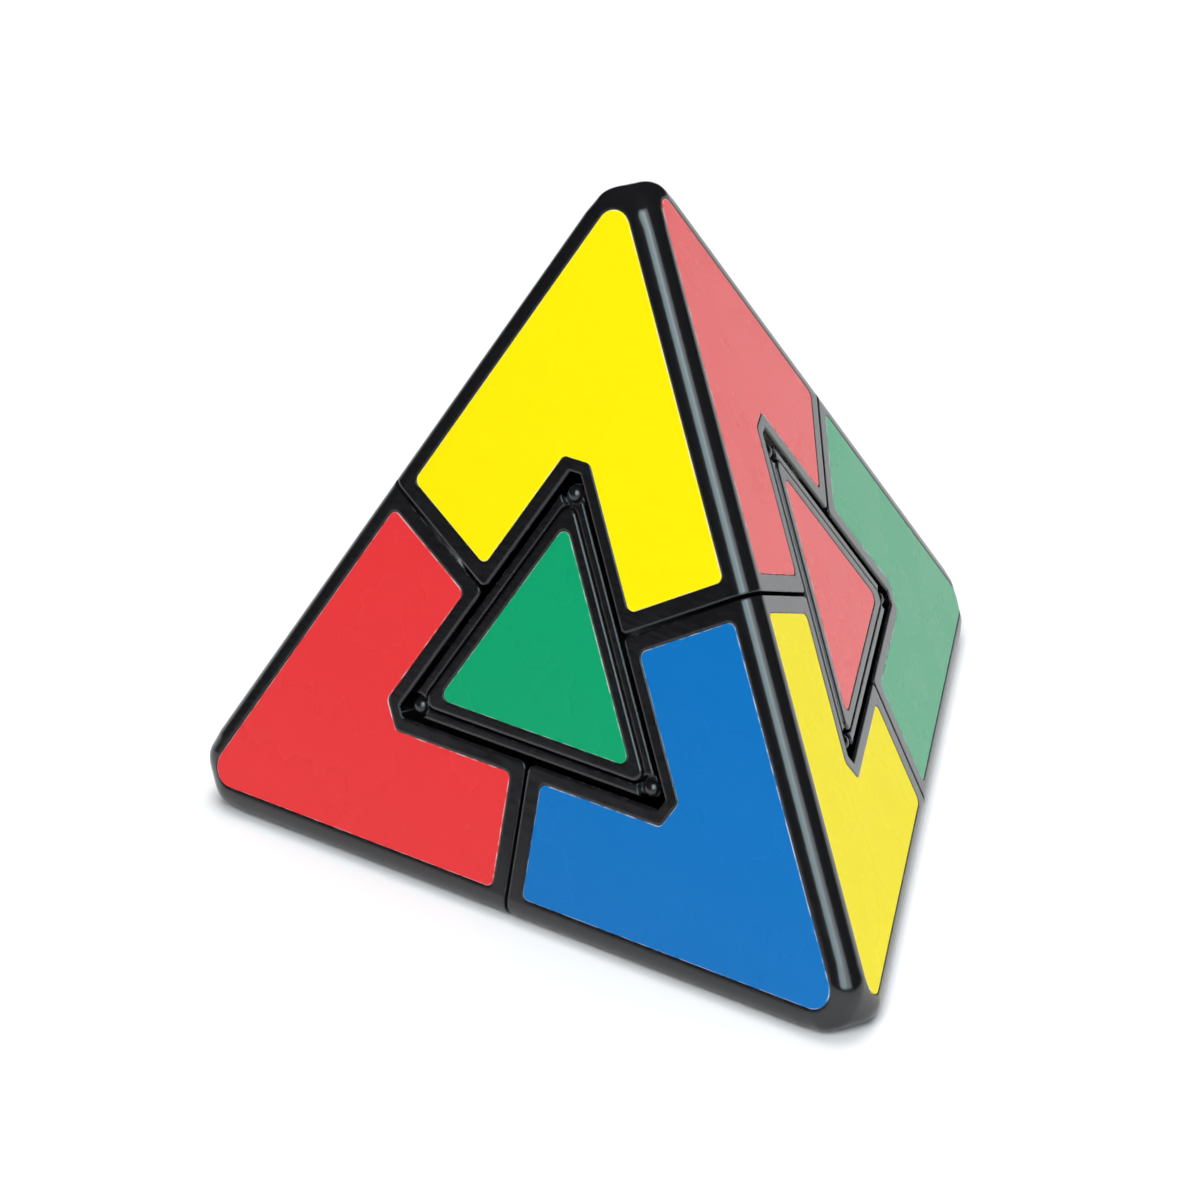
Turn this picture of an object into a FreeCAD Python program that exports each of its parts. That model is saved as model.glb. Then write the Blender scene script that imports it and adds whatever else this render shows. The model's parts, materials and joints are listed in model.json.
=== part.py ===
import FreeCAD, Part
import math
import os

# Pyramid twisty puzzle: four corners turn about the axes of a tetrahedron.
# Millimetres, +Z up, the resting face in the plane z = 0 with its middle at the origin.
# The shapes are built about the middle of the pyramid and lifted at the end.

# overall size
EDGE = 100.0              # edge of the pyramid before its edges and tips are rounded
EDGE_ROUND = 2.05         # rounding of the long edges
TIP_CUT = 7.0             # how far each sharp tip is cut back before it is rounded
TIP_ROUND = 3.4           # rounding of the tips

# lines on each face
SEAM = 0.5                # open line between two corner pieces
SEAM_SWEEP = 0.2          # how far past the middle of that line a turning corner clears
CENTRE_HALF = 10.35       # middle of the face to the side of the centre piece
MOAT = 0.6                # open channel between the centre piece and the corners
NOTCH_END = 2 * CENTRE_HALF - 0.1   # middle of the face to the blunt end of a notch
CORNER_ROUND = 1.0        # rounding, in plan, where a seam meets the channel
CORNER_MEET = 15.0        # angle at which that rounding meets the walls, degrees
CORNER_DEPTH = 1.4        # depth of that rounding
NOTCH_PLAY = 0.5          # room between the blunt end and what turns past it
LIP = 0.25                # thickness of a corner's lip beside the channel
LIP_BEVEL = 0.2           # bevel on that lip

# turning mechanism: four spherical layers about the middle
CORE_R = 7.7              # ball of the core
FOOT_FLOOR = 8.0          # underside of the feet of the centre pieces
FOOT_TOP = 10.8           # top of those feet
WING_TOP = 13.6           # top of the wings that hold the feet down
DISC_TOP = 16.6           # top of the corner discs that hold the wings down
FOOT_ANGLE = 94.0         # half angle of the turning cone in the foot layer
WING_ANGLE = 87.0         # half angle in the wing layer
DISC_ANGLE = 79.5         # half angle in the disc layer
NECK_ANGLE = 88.0         # half angle where the corner disc meets its neck
NECK_FLARE = 2.0          # how far the two sides of that meeting stand apart, degrees
SLIDE_GAP = 0.3           # running clearance in the mechanism
LIFT_ROOM = 0.6           # free height for a corner that is pulled out on its spring
SKIRT_DEPTH = 2.2         # depth of the centre piece's side wall
NECK_DEPTH = 2.9          # depth of the corner's wall in the channel

# core arms, screws, springs and washers
ARM_R = 1.95
ARM_GAP = 0.2             # end of an arm to the corner base
SCREW_R = 1.05
SCREW_IN = 3.0            # end of a screw to the middle of the pyramid
SCREW_FREE = 0.25         # clearance round the screw in the corner base
HEAD_R = 2.4
HEAD_H = 1.6
SLOT_LENGTH = 2.9
SLOT_W = 0.7
SLOT_DEPTH = 0.8
WASHER_R = 2.7
WASHER_H = 0.5
SPRING_FLOOR = 23.5       # seat of the spring to the middle of the pyramid
SPRING_L = 7.0
SPRING_R = 2.2            # middle of the wire
WIRE_R = 0.3
WIRE_SIDES = 8            # the wire is drawn with this many flat sides
SPRING_PITCH = 1.5
POCKET_R = 3.0
TOWER_WALL = 1.4
TOWER_OVER = 1.0          # tower rim above the screw head

# corner base and corner shell
BASE_BALL = 21.0          # all of the corner within this ball belongs to the base
BASE_R = 7.4              # round cut between the base and the shell
BASE_TOP = 26.5           # flat cut between the base and the shell
SHELL_WALL = 2.2
PLUG_FIT = 0.1            # tower in its socket

# centre piece
RIM_W = 1.1               # width of the rim round the cap
CAP_FIT = 0.3             # open line round the cap
CAP_HALF = CENTRE_HALF - RIM_W - CAP_FIT    # middle of the face to the side of the cap
CAP_ROUND = 1.1
CAP_H = 1.5
CAP_BEVEL = 0.3
RIM_DROP = 0.15           # rim below the face
RIM_ROUND = 1.3
RIM_BEVEL = 0.35
PEG_R = 2.4
PEG_H = 0.7
PEG_FIT = 0.1
KNOB_AT = NOTCH_END - 2.25          # middle of the face to each knob
KNOB_R = 0.95
KNOB_DROP = 0.1
KNOB_WELL_R = 1.45
KNOB_WELL_DEPTH = 0.9

# stickers
STICKER_H = 0.2
STICKER_FIT = 0.06
EDGE_MARGIN = 3.44        # sticker to the sharp edge
SEAM_MARGIN = 2.08        # sticker to the middle of a seam
NOTCH_MARGIN = CENTRE_HALF + MOAT + 1.65    # middle of the face to the sticker's inner side
NOTCH_CUT = NOTCH_END + 1.5                 # middle of the face to the sticker's blunt end
TIP_RADIUS = 2.2
STICKER_RADIUS = 0.9
CENTRE_STICKER = CAP_HALF - 1.33            # middle of the face to the side of its sticker
CENTRE_RADIUS = 0.9
CHEVRON_RADII = [TIP_RADIUS] + [STICKER_RADIUS] * 6
CENTRE_RADII = [CENTRE_RADIUS] * 3

# shape of a regular tetrahedron
FACE_R = EDGE / math.sqrt(3)
HEIGHT = EDGE * math.sqrt(2.0 / 3.0)
TIP = 0.75 * HEIGHT       # middle of the pyramid to a sharp tip
FLAT = TIP / 3.0          # middle of the pyramid to a face
LEAN = math.sqrt(8.0) / 3.0   # sine of the angle between two turning axes
HALF = math.sqrt(3) / 2.0     # cosine of 30 degrees
SPREAD = math.sqrt(0.125)  # distance of a face from a turning axis per unit below the tip
BEYOND = EDGE / 20        # how far cutting shapes stand out of the pyramid
SAME = 1e-6               # two points or depths closer than this are one

V = FreeCAD.Vector
Z = V(0, 0, 1)
TIPS = {
    "a": V(0, 0, TIP),
    "b": V(-EDGE / 2, -FACE_R / 2, -FLAT),
    "c": V(EDGE / 2, -FACE_R / 2, -FLAT),
    "d": V(0, FACE_R, -FLAT),
}

CORNERS = {"a": "top", "b": "left", "c": "right", "d": "back"}
FACES = {"a": "bottom", "b": "right", "c": "left", "d": "front"}    # opposite that tip


def others(*names):
    """The tips that are not named."""
    return [name for name in "abcd" if name not in names]


def basis(first, second):
    """A matrix whose columns are two tips and their cross product."""
    p = V(TIPS[first]).normalize()
    q = V(TIPS[second]).normalize()
    w = p.cross(q)
    return FreeCAD.Matrix(p.x, q.x, w.x, 0, p.y, q.y, w.y, 0, p.z, q.z, w.z, 0, 0, 0, 0, 1)


def turned(shape, start, end):
    """A copy turned so that the two tips in start land on the two in end."""
    matrix = basis(*end).multiply(basis(*start).inverse())
    copy = shape.copy()
    copy.Placement = FreeCAD.Placement(matrix).multiply(copy.Placement)
    return copy


def cylinder(radius, low, high):
    """A round bar on the vertical axis."""
    return Part.makeCylinder(radius, high - low, V(0, 0, low), Z)


def ball(radius):
    return Part.makeSphere(radius)


# ---- points on the front face, which has the tip a above and the tips b and c below

FACE_MID = V(TIPS["d"]).normalize() * -FLAT
FACE_OUT = V(FACE_MID).normalize()
FACE_UP = V(TIPS["a"] - FACE_MID).normalize()
FACE_SIDE = FACE_UP.cross(FACE_OUT)


def on_face(across, up, depth):
    return FACE_MID + FACE_SIDE * across + FACE_UP * up - FACE_OUT * depth


def bar(across, up, radius, top, bottom):
    """A round bar square to the front face, between two depths."""
    return Part.makeCylinder(radius, bottom - top, on_face(across, up, top), FACE_OUT * -1)


def on_plane(edge, depth):
    """Whether an edge lies at one depth below the front face."""
    return all(abs((v.Point - on_face(0, 0, depth)).dot(FACE_OUT)) < SAME for v in edge.Vertexes)


def rounded_wire(points, radii, depth):
    """A closed outline on the front face with each corner rounded by its own radius."""
    corners = []
    count = len(points)
    for i in range(count):
        here = V(points[i][0], points[i][1], 0)
        before = V(points[i - 1][0], points[i - 1][1], 0) - here
        after = V(points[(i + 1) % count][0], points[(i + 1) % count][1], 0) - here
        half_angle = before.getAngle(after) / 2
        before.normalize()
        after.normalize()
        reach = radii[i] / math.tan(half_angle)
        inward = (before + after).normalize()
        middle = inward * (radii[i] / math.sin(half_angle) - radii[i])
        corners.append([here + before * reach, here + middle, here + after * reach])
    edges = []
    for i in range(count):
        start, middle, end = [on_face(p.x, p.y, depth) for p in corners[i]]
        following = corners[(i + 1) % count][0]
        edges.append(Part.Arc(start, middle, end).toShape())
        edges.append(Part.makeLine(end, on_face(following.x, following.y, depth)))
    return Part.Wire(edges)


def plate(points, radii, top, bottom):
    """A plate with a rounded outline, from one depth below the front face to another."""
    face = Part.Face(rounded_wire(points, radii, top))
    return face.extrude(FACE_OUT * (top - bottom))


def triangle(half):
    """Corners of a triangle whose sides stand at the distance half from its middle."""
    return [(0, 2 * half), (-2 * HALF * half, -half), (2 * HALF * half, -half)]


def rounded_triangle(half, radius, top, bottom):
    return plate(triangle(half), [radius] * 3, top, bottom)


def blunt_triangle(half, end):
    """The same triangle with its corners cut square at the distance end."""
    slack = (2 * half - end) / (2 * HALF)
    points = []
    for quarter in range(3):
        angle = math.radians(120 * quarter)
        for across in (slack, -slack):
            x = across * math.cos(angle) - end * math.sin(angle)
            y = across * math.sin(angle) + end * math.cos(angle)
            points.append((x, y))
    return points


def chevron(grow):
    """Outline of the sticker on the upper corner of the front face."""
    outer = FACE_R / 2 - EDGE_MARGIN + grow
    inner = NOTCH_MARGIN - grow
    seam = SEAM_MARGIN - grow
    blunt = NOTCH_CUT - grow
    side = []
    for reach in (outer, inner):
        side.append((HALF * reach - seam / 2, reach / 2 + HALF * seam))
    side.append(((blunt / 2 - inner) / -HALF, blunt))
    mirrored = [(-x, y) for x, y in side]
    return [(0, 2 * outer)] + mirrored + side[::-1]


# ---- the region that turns with the upper corner

def meridian(up, across, depth):
    """A point of the front face carried round the vertical axis into one half plane."""
    height = (FLAT - depth) / 3 + LEAN * up
    radius = math.hypot(LEAN * (FLAT - depth) - up / 3, across)
    return V(radius, 0, height)


def layer_point(radius, angle, inset):
    """A point on a mechanism sphere, moved off the cone of that half angle."""
    turn = math.radians(angle) - math.asin(inset / radius)
    return V(radius * math.sin(turn), 0, radius * math.cos(turn))


def sphere_arc(start, end):
    """An arc about the middle of the pyramid."""
    middle = V(start + end).normalize() * start.Length
    return Part.Arc(start, middle, end).toShape()


def smooth(points):
    curve = Part.BSplineCurve()
    curve.interpolate(points)
    return curve.toShape()


def seam_curve(offset, start, end, depth):
    """The seam between two corners, from the centre piece out past the edge."""
    points = []
    steps = 6
    for i in range(steps + 1):
        reach = start + (end - start) * i / steps
        up = reach / 2 + HALF * offset
        across = HALF * reach - offset / 2
        points.append(meridian(up, across, depth))
    return points


def side_curve(half, offset, limit, depth):
    """The side of the centre piece, from the blunt notch end in to the seam."""
    far = LEAN * (FLAT - depth) - half / 6
    slope = HALF / 3
    middle = HALF * half
    p = slope * slope + 0.25
    q = 2 * (far * slope + middle / 2)
    s = far * far + middle * middle - limit * limit
    last = (math.sqrt(q * q - 4 * p * s) - q) / (2 * p)
    points = []
    steps = 5
    for i in range(steps + 1):
        along = last + (-offset - last) * i / steps
        points.append(meridian(half / 2 - HALF * along, HALF * half + along / 2, depth))
    return points


def turning_region(inset, offset, half, limit, neck, room, skirt, lip):
    """Everything that turns with the upper corner, as one solid of revolution."""
    floor = FOOT_FLOOR + inset
    disc = DISC_TOP + inset + room
    steps = [
        layer_point(floor, FOOT_ANGLE, inset),
        layer_point(FOOT_TOP - inset, FOOT_ANGLE, inset),
        layer_point(FOOT_TOP - inset, WING_ANGLE, inset),
        layer_point(WING_TOP - inset, WING_ANGLE, inset),
        layer_point(WING_TOP - inset, DISC_ANGLE, inset),
        layer_point(disc, DISC_ANGLE, inset),
        layer_point(disc, neck, inset),
    ]
    side_level = TIP / 9 - LEAN * half
    face_radius = (TIP - side_level) * SPREAD
    skirt_foot = V(face_radius - skirt / LEAN, 0, side_level)
    rim = V(limit, 0, side_level)
    side = side_curve(half, offset, limit, lip)
    seam = seam_curve(offset, half, FACE_R / 2 + BEYOND, 0)
    above = V(seam[-1].x, 0, TIP + BEYOND)
    top = V(0, 0, above.z)
    bottom = V(0, 0, floor)
    edges = [sphere_arc(bottom, steps[0])]
    for i in range(len(steps) - 1):
        if i % 2:
            edges.append(sphere_arc(steps[i], steps[i + 1]))
        else:
            edges.append(Part.makeLine(steps[i], steps[i + 1]))
    edges.append(Part.makeLine(steps[-1], skirt_foot))
    edges.append(Part.makeLine(skirt_foot, rim))
    edges.append(Part.makeLine(rim, side[0]))
    edges.append(smooth(side))
    if side[-1].distanceToPoint(seam[0]) > SAME:
        edges.append(Part.makeLine(side[-1], seam[0]))
    edges.append(smooth(seam))
    edges.append(Part.makeLine(seam[-1], above))
    edges.append(Part.makeLine(above, top))
    edges.append(Part.makeLine(top, bottom))
    face = Part.Face(Part.Wire(edges))
    return face.revolve(V(0, 0, 0), Z, 360)


# ---- the pyramid and its pieces

def pyramid():
    """The outer shape: a tetrahedron with blunted tips and rounded edges."""
    faces = []
    for name in TIPS:
        corners = [TIPS[other] for other in others(name)]
        faces.append(Part.Face(Part.makePolygon(corners + corners[:1])))
    solid = Part.Solid(Part.Shell(faces))
    half = EDGE / 2
    block = Part.makeBox(half, half, half, V(-half / 2, -half / 2, TIP - TIP_CUT))
    for name in "abcd":
        solid = solid.cut(turned(block, "ad", name + others(name)[0]))
    short_edges = [edge for edge in solid.Edges if edge.Length < half]
    solid = solid.makeFillet(TIP_ROUND, short_edges)
    long_edges = [edge for edge in solid.Edges if edge.Length > half]
    return solid.makeFillet(EDGE_ROUND, long_edges)


def outline(points, depth):
    corners = [on_face(x, y, depth) for x, y in points]
    return Part.makePolygon(corners + corners[:1])


def channel():
    """The opening in a face round the centre piece, with a bevel at its rim."""
    half = CENTRE_HALF + MOAT
    straight = Part.Face(outline(blunt_triangle(half, NOTCH_END), 0))
    opening = straight.extrude(FACE_OUT * -CAP_H)
    wide = outline(blunt_triangle(half + 2 * LIP_BEVEL, NOTCH_END + 2 * LIP_BEVEL), -LIP_BEVEL)
    narrow = outline(blunt_triangle(half, NOTCH_END), LIP_BEVEL)
    return opening.fuse(Part.makeLoft([wide, narrow], True, True))


def seam_corner(side):
    """What is rounded off the upper corner where one seam meets the channel."""
    outset = SEAM / 4
    radius = CORNER_ROUND
    edge = SEAM / 2
    start = CENTRE_HALF + MOAT
    inset = radius * math.cos(math.radians(CORNER_MEET))
    middle = (start + inset, edge + inset)
    diagonal = radius / math.sqrt(2)
    spots = [
        (middle[0], middle[1] - radius),
        (middle[0] - diagonal, middle[1] - diagonal),
        (middle[0] - radius, middle[1]),
        (start - outset, middle[1]),
        (start - outset, edge - outset),
        (middle[0], edge - outset),
    ]
    points = []
    for reach, offset in spots:
        across = side * (HALF * reach - offset / 2)
        points.append(on_face(across, reach / 2 + HALF * offset, -CAP_H))
    edges = [Part.Arc(*points[:3]).toShape(), Part.makePolygon(points[2:] + points[:1])]
    face = Part.Face(Part.Wire(edges))
    return face.extrude(FACE_OUT * -(CAP_H + CORNER_DEPTH))


def corner_block(solid, turning, passing, opening):
    """All of the upper corner before it is divided into shell and base."""
    block = solid.common(turning)
    block = block.cut([turned(passing, "ad", name + "a") for name in "bcd"])
    openings = [opening, seam_corner(1), seam_corner(-1)]
    return block.cut([turned(shape, "ad", "a" + name) for shape in openings for name in "bcd"])


def hollow(grown):
    """The hollow inside a corner shell, one wall away from every side of it."""
    low = BASE_TOP + SHELL_WALL
    high = TIP - TIP_CUT - SHELL_WALL
    reach = TIP - 3 * SHELL_WALL
    base = triangle((reach - low) * SPREAD)
    top = triangle((reach - high) * SPREAD)
    wires = []
    for points, level in ((base, low), (top, high)):
        corners = [V(x, y, level) for x, y in points]
        wires.append(Part.makePolygon(corners + corners[:1]))
    room = Part.makeLoft(wires, True, True)
    return room.cut([turned(grown, "ad", name + "a") for name in "bcd"])


def sticker(points, radii, grow):
    """A sticker, or with grow its bed, flush with the front face."""
    return plate(points, radii, 0 - grow, STICKER_H)


def corner_parts(block, grown):
    """The base that turns in the mechanism and the shell that is pushed over it."""
    seat_top = SPRING_FLOOR + SPRING_L + WASHER_H
    tower_top = seat_top + HEAD_H + TOWER_OVER
    tower_r = POCKET_R + TOWER_WALL
    divide = ball(BASE_BALL).fuse(cylinder(BASE_R, 0, BASE_TOP))
    base = block.common(divide).fuse(cylinder(tower_r, SPRING_FLOOR, tower_top))
    bore = cylinder(SCREW_R + SCREW_FREE, 0, tower_top)
    pocket = cylinder(POCKET_R, SPRING_FLOOR, tower_top + TOWER_OVER)
    base = base.cut([bore, pocket, ball(FOOT_TOP + SLIDE_GAP / 2)])
    socket = cylinder(tower_r + PLUG_FIT, BASE_TOP, tower_top + TOWER_OVER)
    shell = block.cut([divide, socket, hollow(grown)])
    bed = sticker(chevron(STICKER_FIT), CHEVRON_RADII, STICKER_FIT)
    shell = shell.cut([turned(bed, "ad", "a" + name) for name in "bcd"])
    return base, shell


def screw():
    """A pan head screw with a cross slot, on the vertical axis."""
    seat = SPRING_FLOOR + SPRING_L + WASHER_H
    body = cylinder(SCREW_R, SCREW_IN, seat).fuse(cylinder(HEAD_R, seat, seat + HEAD_H))
    depth = seat + HEAD_H - SLOT_DEPTH
    slots = []
    for length, width in ((SLOT_LENGTH, SLOT_W), (SLOT_W, SLOT_LENGTH)):
        slots.append(Part.makeBox(length, width, SLOT_DEPTH, V(-length / 2, -width / 2, depth)))
    return body.cut(slots)


def washer():
    low = SPRING_FLOOR + SPRING_L
    ring = cylinder(WASHER_R, low, low + WASHER_H)
    return ring.cut(cylinder(SCREW_R + SCREW_FREE, low, low + WASHER_H))


def spring():
    """A coil spring between its seat in the corner base and the washer."""
    length = SPRING_L - 2 * WIRE_R
    path = Part.makeHelix(SPRING_PITCH, length, SPRING_R)
    points = []
    for i in range(WIRE_SIDES):
        angle = 2 * math.pi * i / WIRE_SIDES
        points.append(V(SPRING_R + WIRE_R * math.cos(angle), 0, WIRE_R * math.sin(angle)))
    section = Part.makePolygon(points + points[:1])
    coil = Part.Wire(path).makePipeShell([section], True, True)
    coil.translate(V(0, 0, SPRING_FLOOR + WIRE_R))
    return coil


def core():
    """The ball in the middle with its four arms, drilled for the screws."""
    arm_top = FOOT_TOP - ARM_GAP
    arms = [turned(cylinder(ARM_R, 0, arm_top), "ad", name + others(name)[0]) for name in "abcd"]
    hole = cylinder(SCREW_R, SCREW_IN, arm_top)
    holes = [turned(hole, "ad", name + others(name)[0]) for name in "abcd"]
    return ball(CORE_R).fuse(arms).cut(holes)


def wing(turning, passing):
    """The hidden piece under the edge between the tips a and b."""
    body = ball(DISC_TOP - SLIDE_GAP / 2).common(turning)
    body = body.common(turned(turning, "ab", "ba"))
    return body.cut([turned(passing, "ad", name + "a") for name in "cd"])


def foot(turning):
    """The foot of the front centre piece, with its rim, peg and three knobs."""
    body = rounded_triangle(CENTRE_HALF, RIM_ROUND, RIM_DROP, TIP / 2)
    rim = [edge for edge in body.Edges if on_plane(edge, RIM_DROP)]
    body = body.makeFillet(RIM_BEVEL, rim)
    for name in "abc":
        body = body.common(turned(turning, "ad", name + "d"))
    pocket = rounded_triangle(CAP_HALF + CAP_FIT, CAP_ROUND + CAP_FIT, -CAP_H, CAP_H)
    body = body.cut(pocket)
    body = body.fuse(bar(0, 0, PEG_R, CAP_H - PEG_H, CAP_H + PEG_H))
    wells = []
    knobs = []
    for x, y in triangle(KNOB_AT / 2):
        wells.append(bar(x, y, KNOB_WELL_R, -CAP_H, KNOB_WELL_DEPTH))
        knobs.append(bar(x, y, KNOB_R, KNOB_DROP + KNOB_R, KNOB_WELL_DEPTH + KNOB_DROP + KNOB_R))
        knobs.append(Part.makeSphere(KNOB_R, on_face(x, y, KNOB_DROP + KNOB_R)))
    return body.cut(wells).fuse(knobs)


def cap():
    """The cap of the front centre piece, with its sticker bed and peg hole."""
    body = rounded_triangle(CAP_HALF, CAP_ROUND, 0, CAP_H)
    rim = [edge for edge in body.Edges if on_plane(edge, 0)]
    body = body.makeFillet(CAP_BEVEL, rim)
    hole = bar(0, 0, PEG_R + PEG_FIT, CAP_H - PEG_H - PEG_FIT, CAP_H)
    bed = sticker(triangle(CENTRE_STICKER + STICKER_FIT), CENTRE_RADII, STICKER_FIT)
    return body.cut([hole, bed])


def build():
    """Every sub-part by name, still about the middle of the pyramid."""
    limit = meridian(-NOTCH_END / 2, HALF * NOTCH_END, 0).x
    outer_half = CENTRE_HALF + MOAT
    turning = turning_region(
        SLIDE_GAP / 2, SEAM / 2, CENTRE_HALF, limit - NOTCH_PLAY,
        NECK_ANGLE - NECK_FLARE, LIFT_ROOM, SKIRT_DEPTH, 0)
    passing = turning_region(
        -SLIDE_GAP / 2, -SEAM_SWEEP, outer_half, limit,
        NECK_ANGLE + NECK_FLARE, 0, NECK_DEPTH, LIP)
    grown = turning_region(
        -SLIDE_GAP / 2 - SHELL_WALL, -SEAM / 2 - SHELL_WALL, outer_half + SHELL_WALL,
        limit + SHELL_WALL, NECK_ANGLE, 0, NECK_DEPTH + SHELL_WALL, LIP)
    solid = pyramid()
    base, shell = corner_parts(corner_block(solid, turning, passing, channel()), grown)
    foot_d = foot(turning)
    cap_d = cap()
    chevron_tile = sticker(chevron(0), CHEVRON_RADII, 0)
    centre_tile = sticker(triangle(CENTRE_STICKER), CENTRE_RADII, 0)
    wing_ab = wing(turning, passing)
    parts = {"core": core()}
    screws = []
    for name in "abcd":
        corner = CORNERS[name]
        side = FACES[name]
        rest = others(name)
        here = name + rest[0]
        front = rest[0] + name
        screws.append(turned(screw(), "ad", here))
        parts["washer_" + corner] = turned(washer(), "ad", here)
        parts["spring_" + corner] = turned(spring(), "ad", here)
        parts["corner_base_" + corner] = turned(base, "ad", here)
        parts["corner_shell_" + corner] = turned(shell, "ad", here)
        parts["centre_foot_" + side] = turned(foot_d, "ad", front)
        parts["centre_cap_" + side] = turned(cap_d, "ad", front)
        parts["centre_sticker_" + side] = turned(centre_tile, "ad", front)
        for other in rest:
            tile = turned(chevron_tile, "ad", name + other)
            parts["sticker_" + corner + "_" + FACES[other]] = tile
            if other > name:
                wing_name = "wing_" + corner + "_" + CORNERS[other]
                parts[wing_name] = turned(wing_ab, "ab", name + other)
    parts["screws"] = Part.Compound(screws)
    return parts


os.makedirs("parts", exist_ok=True)
for part_name, shape in build().items():
    shape.translate(V(0, 0, FLAT))
    shape.exportStep("parts/" + part_name + ".step")
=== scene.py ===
import json
import math

import bmesh
import bpy
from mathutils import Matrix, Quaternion, Vector

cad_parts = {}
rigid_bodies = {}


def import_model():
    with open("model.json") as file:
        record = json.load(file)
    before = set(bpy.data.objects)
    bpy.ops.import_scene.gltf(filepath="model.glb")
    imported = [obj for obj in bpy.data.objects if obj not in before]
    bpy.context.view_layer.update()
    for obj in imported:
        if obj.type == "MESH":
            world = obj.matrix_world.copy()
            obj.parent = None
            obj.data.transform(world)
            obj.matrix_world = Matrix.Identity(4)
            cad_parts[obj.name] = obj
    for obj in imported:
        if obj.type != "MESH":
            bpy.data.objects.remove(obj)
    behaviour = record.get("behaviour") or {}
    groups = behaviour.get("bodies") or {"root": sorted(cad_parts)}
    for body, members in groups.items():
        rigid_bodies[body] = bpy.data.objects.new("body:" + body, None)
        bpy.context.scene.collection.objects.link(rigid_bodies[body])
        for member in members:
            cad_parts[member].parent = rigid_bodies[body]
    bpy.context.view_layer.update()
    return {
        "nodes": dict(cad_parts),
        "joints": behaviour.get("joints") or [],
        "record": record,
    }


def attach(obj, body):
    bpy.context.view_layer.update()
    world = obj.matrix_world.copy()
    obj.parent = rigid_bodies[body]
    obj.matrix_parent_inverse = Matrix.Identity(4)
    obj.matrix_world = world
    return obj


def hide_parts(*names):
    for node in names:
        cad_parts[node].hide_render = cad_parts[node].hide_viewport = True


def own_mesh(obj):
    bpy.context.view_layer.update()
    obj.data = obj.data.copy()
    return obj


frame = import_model()

# The pyramid twisty puzzle. The CAD gives every shape. This script adds the finishes, the cut
# edges of the stickers, copies of the springs, and a plain studio. Metres, +Z up, as in the CAD.

MM = 0.001
NODES = frame["nodes"]
BODIES = frame["record"]["behaviour"]["bodies"]

# camera, as seen from the middle of the pyramid
AZIMUTH = 41.02           # degrees from the front face's side towards the right
ELEVATION = 28.09
ROLL = -3.72
DISTANCE = 0.5726
SHIFT_RIGHT = 6.63 * MM   # the object stands this far right of the middle of the picture
SHIFT_DOWN = 5.01 * MM
LENS = 158.92
SENSOR = 36.0

# studio: name, direction from the puzzle, distance, width, height, watts, whether it lights
# surfaces, whether reflections show it
LIGHTS = [
    ("overhead", (-0.12, 0.35, 1.0), 0.80, 0.80, 0.80, 6.9, True, False),
    ("front", (0.25, -0.75, 0.75), 0.90, 0.50, 0.50, 4.2, True, False),
    ("side", (0.66, -0.34, 0.64), 0.80, 0.38, 0.80, 3.3, True, True),
    ("card", (0.45, -0.64, 0.62), 0.80, 0.42, 0.80, 6.6, False, True),
]
WHITE = (1, 1, 1)
TINTS = {"side": (0.86, 0.93, 1.0), "card": (0.70, 0.94, 1.0)}
ROOM_DARK = 0.05
ROOM_LIGHT = 0.55
FLOOR_RADIUS = 4.0
FLOOR_SIDES = 96
FLOOR_GAP = 0.02 * MM     # the paper lies this far under the resting face

# shapes
CUT_EDGE = 0.09 * MM      # width of the light edge where a sticker was cut
WELD = 0.001 * MM         # corners this close together are one corner
FLAT_ANGLE = 1            # degrees; flatter edges than this are taken out of a sticker
SMOOTH_ANGLE = 25         # degrees; sharper edges than this stay sharp
BLACK_ROUND = 0.38 * MM   # how far the shading rounds the edges of the outer plastic
INNER_ROUND = 0.20 * MM   # and of the hidden pieces

# finishes, in linear colour
BLACK = (0.0075, 0.0075, 0.0085)
WORN = (0.030, 0.030, 0.033)
INNER = (0.017, 0.017, 0.018)
INNER_DARK = (0.010, 0.010, 0.011)
PALE = (0.62, 0.62, 0.59)
PALE_DARK = (0.55, 0.55, 0.52)
STEEL = (0.56, 0.56, 0.58)
SPRING_STEEL = (0.40, 0.40, 0.42)
VINYL = {
    "yellow": (0.93, 0.78, 0.004),
    "red": (0.76, 0.036, 0.040),
    "blue": (0.002, 0.155, 0.47),
    "green": (0.002, 0.33, 0.135),
}
FLOOR = (0.92, 0.92, 0.92)
VINYL_IOR = {"yellow": 1.08, "red": 1.32, "blue": 1.32, "green": 1.32}
BLACK_IOR = 1.53
INNER_IOR = 1.50
DEEP_VINYL = 0.985        # the deeper patches of the print, as a share of its colour
DEEP_PAPER = 0.99
DULL_STEEL = 0.6
CUT_COLOUR = 0.45         # share of the print's colour in a cut edge
CUT_WHITE = 0.42          # and the white added to it
WORN_SHINE = 0.12         # how much rougher a rubbed edge is
EDGE_SHINE = 0.15         # how much smoother the edges of hidden pieces are


# ---- building blocks for materials

def begin(name):
    """A new material with its node tree and its shader."""
    material = bpy.data.materials.new(name)
    material.use_nodes = True
    tree = material.node_tree
    return material, tree, tree.nodes["Principled BSDF"]


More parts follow.
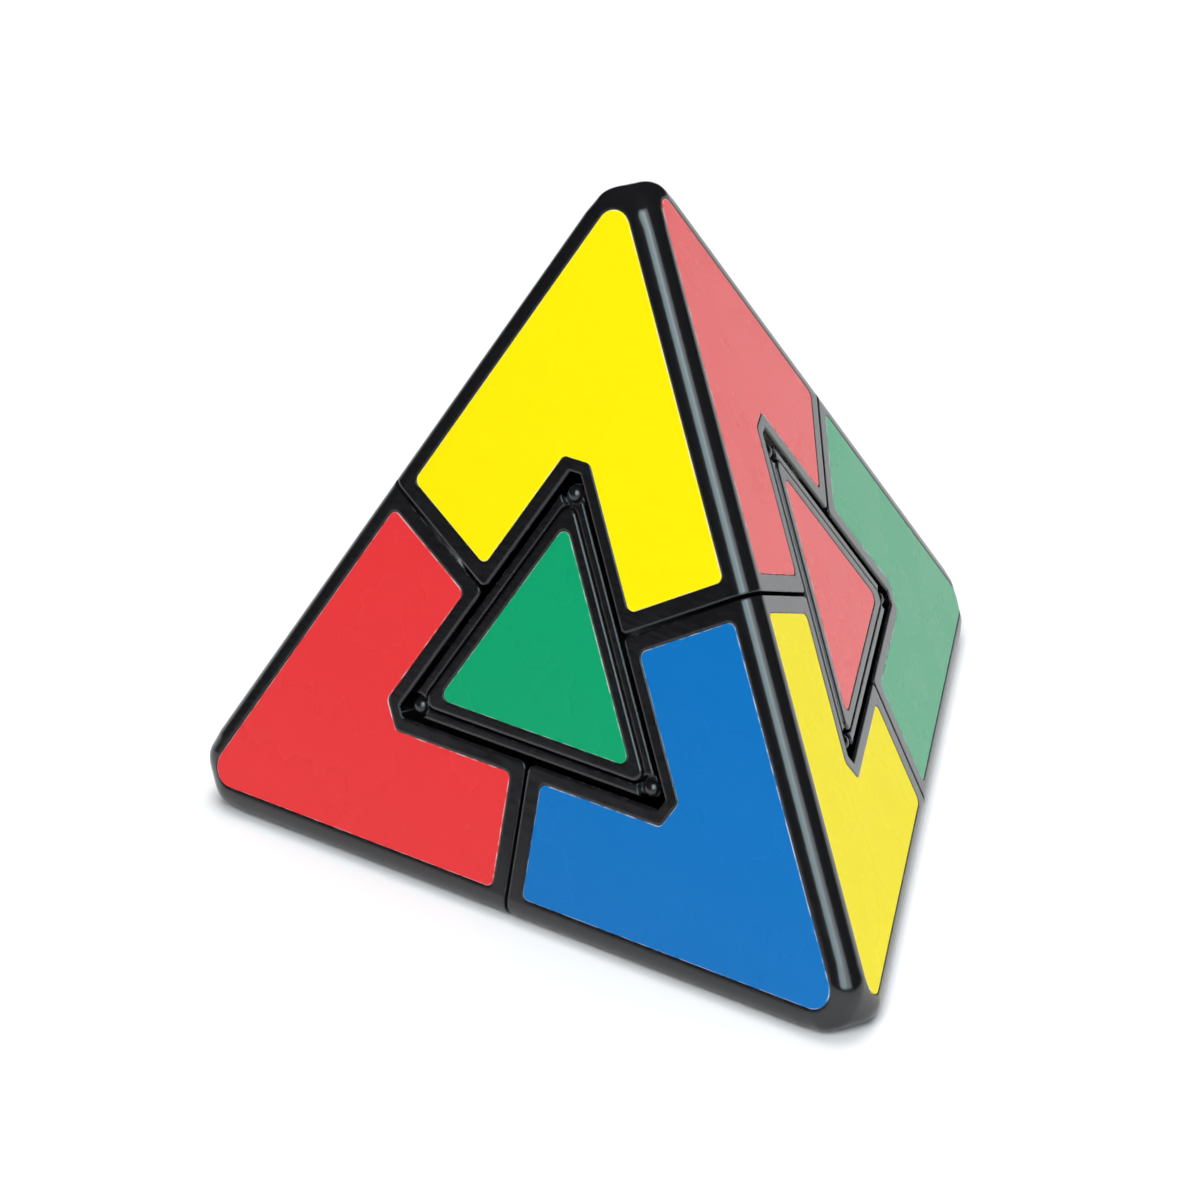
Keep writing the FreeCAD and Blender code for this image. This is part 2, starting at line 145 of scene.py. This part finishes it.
def noise(tree, scale, detail=3.0, stretch=(1, 1, 1)):
    """Noise fixed to the object, with scale features in a metre."""
    place = tree.nodes.new("ShaderNodeTexCoord")
    mapping = tree.nodes.new("ShaderNodeMapping")
    mapping.inputs["Scale"].default_value = stretch
    texture = tree.nodes.new("ShaderNodeTexNoise")
    texture.inputs["Scale"].default_value = scale
    texture.inputs["Detail"].default_value = detail
    tree.links.new(place.outputs["Object"], mapping.inputs["Vector"])
    tree.links.new(mapping.outputs["Vector"], texture.inputs["Vector"])
    return texture.outputs["Fac"]


def spread(tree, value, low, high, start=0.3, stop=0.7):
    """Carries a value between start and stop over to low and high."""
    ranged = tree.nodes.new("ShaderNodeMapRange")
    ranged.inputs["From Min"].default_value = start
    ranged.inputs["From Max"].default_value = stop
    ranged.inputs["To Min"].default_value = low
    ranged.inputs["To Max"].default_value = high
    tree.links.new(value, ranged.inputs["Value"])
    return ranged.outputs["Result"]


def maths(tree, operation, first, second):
    """One calculation; each input is an output of the tree or a number."""
    step = tree.nodes.new("ShaderNodeMath")
    step.operation = operation
    for socket, value in zip(step.inputs, (first, second)):
        if isinstance(value, (int, float)):
            socket.default_value = value
        else:
            tree.links.new(value, socket)
    return step.outputs["Value"]


def blend(tree, amount, first, second):
    """A colour between two colours."""
    mix = tree.nodes.new("ShaderNodeMix")
    mix.data_type = "RGBA"
    mix.inputs["A"].default_value = (*first, 1)
    mix.inputs["B"].default_value = (*second, 1)
    tree.links.new(amount, mix.inputs["Factor"])
    return mix.outputs["Result"]


def bump(tree, height, distance, normal=None):
    """Relief of a given depth in metres, on top of another normal."""
    relief = tree.nodes.new("ShaderNodeBump")
    relief.inputs["Strength"].default_value = 1.0
    relief.inputs["Distance"].default_value = distance
    tree.links.new(height, relief.inputs["Height"])
    if normal is not None:
        tree.links.new(normal, relief.inputs["Normal"])
    return relief.outputs["Normal"]


def soft_edges(tree, radius):
    """A normal rounded over sharp edges, and how near each point is to such an edge."""
    bevel = tree.nodes.new("ShaderNodeBevel")
    bevel.samples = 6
    bevel.inputs["Radius"].default_value = radius
    geometry = tree.nodes.new("ShaderNodeNewGeometry")
    product = tree.nodes.new("ShaderNodeVectorMath")
    product.operation = "DOT_PRODUCT"
    tree.links.new(bevel.outputs["Normal"], product.inputs[0])
    tree.links.new(geometry.outputs["Normal"], product.inputs[1])
    near = spread(tree, product.outputs["Value"], 1.0, 0.0, 0.8, 0.99)
    return bevel.outputs["Normal"], near


# ---- the materials

def black_plastic():
    """Polished moulded plastic: faint waviness, hairlines, and rubbed edges."""
    material, tree, shader = begin("black_plastic")
    rounded, near = soft_edges(tree, BLACK_ROUND)
    patches = noise(tree, 900)
    rubbed = maths(tree, "MULTIPLY", near, spread(tree, patches, 0.0, 1.0, 0.42, 0.66))
    hairlines = noise(tree, 500, 4.0, (1, 9, 3))
    smears = noise(tree, 70, 5.0)
    scratched = spread(tree, hairlines, 0.10, 0.20)
    handled = spread(tree, smears, 0.0, 0.07)
    rough = maths(tree, "ADD", scratched, handled)
    rough = maths(tree, "ADD", rough, maths(tree, "MULTIPLY", rubbed, WORN_SHINE))
    wave = bump(tree, noise(tree, 160, 1.0), 0.010 * MM, rounded)
    grain = bump(tree, noise(tree, 2600, 2.0), 0.0004 * MM, wave)
    tree.links.new(blend(tree, rubbed, BLACK, WORN), shader.inputs["Base Color"])
    tree.links.new(rough, shader.inputs["Roughness"])
    tree.links.new(grain, shader.inputs["Normal"])
    shader.inputs["IOR"].default_value = BLACK_IOR
    return material


def satin_plastic(name, colour, darker):
    """The unpolished plastic of the hidden pieces, with the fine grain of its mould."""
    material, tree, shader = begin(name)
    rounded, near = soft_edges(tree, INNER_ROUND)
    cloudy = spread(tree, noise(tree, 120, 5.0), 0.0, 1.0)
    grainy = spread(tree, noise(tree, 800), 0.36, 0.50)
    rough = maths(tree, "SUBTRACT", grainy, maths(tree, "MULTIPLY", near, EDGE_SHINE))
    grain = bump(tree, noise(tree, 3200, 3.0), 0.004 * MM, rounded)
    tree.links.new(blend(tree, cloudy, colour, darker), shader.inputs["Base Color"])
    tree.links.new(rough, shader.inputs["Roughness"])
    tree.links.new(grain, shader.inputs["Normal"])
    shader.inputs["IOR"].default_value = INNER_IOR
    return material


def metal(name, colour, stretch):
    """Plated steel with the fine lines of drawing or turning."""
    material, tree, shader = begin(name)
    lines = noise(tree, 900, 5.0, stretch)
    spots = noise(tree, 1500, 3.0)
    dull = tuple(DULL_STEEL * part for part in colour)
    tone = blend(tree, spread(tree, spots, 0.0, 0.5), colour, dull)
    tree.links.new(tone, shader.inputs["Base Color"])
    tree.links.new(spread(tree, lines, 0.18, 0.38), shader.inputs["Roughness"])
    tree.links.new(bump(tree, lines, 0.004 * MM), shader.inputs["Normal"])
    shader.inputs["Metallic"].default_value = 1.0
    return material


def vinyl(name, colour):
    """Printed vinyl: even colour, a faint wave from the hand that pressed it on, fine grain."""
    material, tree, shader = begin("vinyl_" + name)
    deep = tuple(DEEP_VINYL * part for part in colour)
    cloudy = spread(tree, noise(tree, 45, 4.0), 0.0, 1.0)
    rubs = noise(tree, 120, 2.0)
    tree.links.new(blend(tree, cloudy, colour, deep), shader.inputs["Base Color"])
    tree.links.new(spread(tree, rubs, 0.24, 0.30, 0.2, 0.8), shader.inputs["Roughness"])
    wave = bump(tree, noise(tree, 45, 0.0), 0.05 * MM)
    grain = bump(tree, noise(tree, 3500, 2.0), 0.0006 * MM, wave)
    tree.links.new(grain, shader.inputs["Normal"])
    shader.inputs["IOR"].default_value = VINYL_IOR[name]
    return material


def cut_vinyl(name, colour):
    """The cut edge of a sticker, where the pale film under the print shows."""
    material, tree, shader = begin("vinyl_cut_" + name)
    pale = tuple(CUT_COLOUR * part + CUT_WHITE for part in colour)
    torn = spread(tree, noise(tree, 700, 4.0), 0.0, 1.0, 0.42, 0.60)
    tree.links.new(blend(tree, torn, colour, pale), shader.inputs["Base Color"])
    tree.links.new(spread(tree, noise(tree, 2000), 0.40, 0.60), shader.inputs["Roughness"])
    return material


def floor_paper():
    """Matt white paper."""
    material, tree, shader = begin("floor_paper")
    tone = spread(tree, noise(tree, 4, 2.0), 0.0, 1.0)
    darker = tuple(DEEP_PAPER * part for part in FLOOR)
    tree.links.new(blend(tree, tone, FLOOR, darker), shader.inputs["Base Color"])
    shader.inputs["Roughness"].default_value = 0.9
    return material


# ---- the object

def finish_nodes():
    """Gives every CAD piece but the stickers the material of its slot; returns all the slots."""
    slots = {part["node"]: part["material_slot"] for part in frame["record"]["subparts"]}
    made = {
        "black_plastic": black_plastic(),
        "inner_plastic": satin_plastic("inner_plastic", INNER, INNER_DARK),
        "core_plastic": satin_plastic("core_plastic", PALE, PALE_DARK),
        "steel": metal("steel", STEEL, (1, 1, 8)),
        "spring_steel": metal("spring_steel", SPRING_STEEL, (6, 6, 1)),
    }
    for name, piece in NODES.items():
        if slots[name] in made:
            piece.data.materials.clear()
            piece.data.materials.append(made[slots[name]])
            piece.data.shade_smooth()
            piece.data.set_sharp_from_angle(angle=math.radians(SMOOTH_ANGLE))
    return slots


def film_mesh(source, name, middle):
    """The sticker's own shape with its upper rim cut at a slant."""
    shape = bmesh.new()
    shape.from_mesh(source.data)
    bmesh.ops.remove_doubles(shape, verts=shape.verts, dist=WELD)
    bmesh.ops.dissolve_limit(shape, angle_limit=math.radians(FLAT_ANGLE), verts=shape.verts,
                             edges=shape.edges)
    outward = [face for face in shape.faces
               if face.normal.dot(face.calc_center_median() - middle) > 0]
    top = max(outward, key=lambda face: face.calc_area())
    for face in shape.faces:
        face.material_index = 0 if face == top else 1
    bmesh.ops.bevel(shape, geom=list(top.edges), offset=CUT_EDGE, segments=2,
                    profile=0.5, affect="EDGES", material=1)
    mesh = bpy.data.meshes.new(name)
    shape.to_mesh(mesh)
    shape.free()
    return mesh


def lay_stickers(slots, middle):
    """Replaces each CAD sticker with a film that has a cut edge."""
    faces = {name: vinyl(name, colour) for name, colour in VINYL.items()}
    cuts = {name: cut_vinyl(name, colour) for name, colour in VINYL.items()}
    body_of = {node: body for body, nodes in BODIES.items() for node in nodes}
    for node, slot in slots.items():
        if not slot.startswith("sticker_"):
            continue
        colour = slot.removeprefix("sticker_")
        name = node.replace("sticker", "film")
        mesh = film_mesh(NODES[node], name, middle)
        mesh.materials.append(faces[colour])
        mesh.materials.append(cuts[colour])
        film = bpy.data.objects.new(name, mesh)
        bpy.context.scene.collection.objects.link(film)
        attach(film, body_of[node])
        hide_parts(node)


def fit_springs():
    """Replaces each CAD spring with a copy of its coil, fixed to the body its lift joint hangs
    from.
    """
    for joint in frame["joints"]:
        if joint["type"] != "slide":
            continue
        corner = joint["name"].removeprefix("lift_")
        node = NODES["spring_" + corner]
        coil = bpy.data.objects.new("coil_" + corner, node.data.copy())
        bpy.context.scene.collection.objects.link(coil)
        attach(coil, joint["parent"])
        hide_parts(node.name)
        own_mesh(coil)


# ---- the studio

def camera(middle):
    """The camera, aimed near the middle of the pyramid."""
    azimuth = math.radians(AZIMUTH)
    elevation = math.radians(ELEVATION)
    level = math.cos(elevation)
    back = Vector((math.sin(azimuth) * level, -math.cos(azimuth) * level, math.sin(elevation)))
    turn = Quaternion(back, math.radians(ROLL)) @ back.to_track_quat("Z", "Y")
    right = turn @ Vector((1, 0, 0))
    up = turn @ Vector((0, 1, 0))
    lens = bpy.data.cameras.new("camera")
    lens.lens = LENS
    lens.sensor_width = SENSOR
    lens.clip_start = 0.01
    item = bpy.data.objects.new("camera", lens)
    bpy.context.scene.collection.objects.link(item)
    item.rotation_mode = "QUATERNION"
    item.rotation_quaternion = turn
    item.location = middle + back * DISTANCE - right * SHIFT_RIGHT + up * SHIFT_DOWN
    bpy.context.scene.camera = item


def softbox(name, direction, distance, width, height, power, lit, mirrored, middle):
    """A rectangular light that faces the pyramid."""
    light = bpy.data.lights.new(name, "AREA")
    light.shape = "RECTANGLE"
    light.size = width
    light.size_y = height
    light.energy = power
    light.color = TINTS.get(name, WHITE)
    item = bpy.data.objects.new(name, light)
    bpy.context.scene.collection.objects.link(item)
    towards = Vector(direction).normalized()
    item.location = middle + towards * distance
    item.rotation_mode = "QUATERNION"
    item.rotation_quaternion = towards.to_track_quat("Z", "Y")
    item.visible_diffuse = lit
    item.visible_glossy = mirrored


def surroundings():
    """A dim room that grows lighter towards its ceiling."""
    world = bpy.data.worlds.new("studio")
    world.use_nodes = True
    tree = world.node_tree
    place = tree.nodes.new("ShaderNodeTexCoord")
    split = tree.nodes.new("ShaderNodeSeparateXYZ")
    tree.links.new(place.outputs["Generated"], split.inputs["Vector"])
    light = spread(tree, split.outputs["Z"], ROOM_DARK, ROOM_LIGHT, 0.0, 1.0)
    tree.links.new(light, tree.nodes["Background"].inputs["Strength"])
    bpy.context.scene.world = world


def floor():
    """A wide round sheet of paper just under the puzzle."""
    shape = bmesh.new()
    bmesh.ops.create_circle(shape, cap_ends=True, radius=FLOOR_RADIUS,
                            segments=FLOOR_SIDES)
    mesh = bpy.data.meshes.new("floor")
    shape.to_mesh(mesh)
    shape.free()
    mesh.materials.append(floor_paper())
    item = bpy.data.objects.new("floor", mesh)
    item.location.z = -FLOOR_GAP
    bpy.context.scene.collection.objects.link(item)


middle_height = frame["joints"][0]["pos_m"][2]      # all four turning axes meet there
middle = Vector((0, 0, middle_height))
slots = finish_nodes()
lay_stickers(slots, middle)
fit_springs()
floor()
surroundings()
for light in LIGHTS:
    softbox(*light, middle)
camera(middle)
bpy.context.scene.view_settings.view_transform = "Standard"
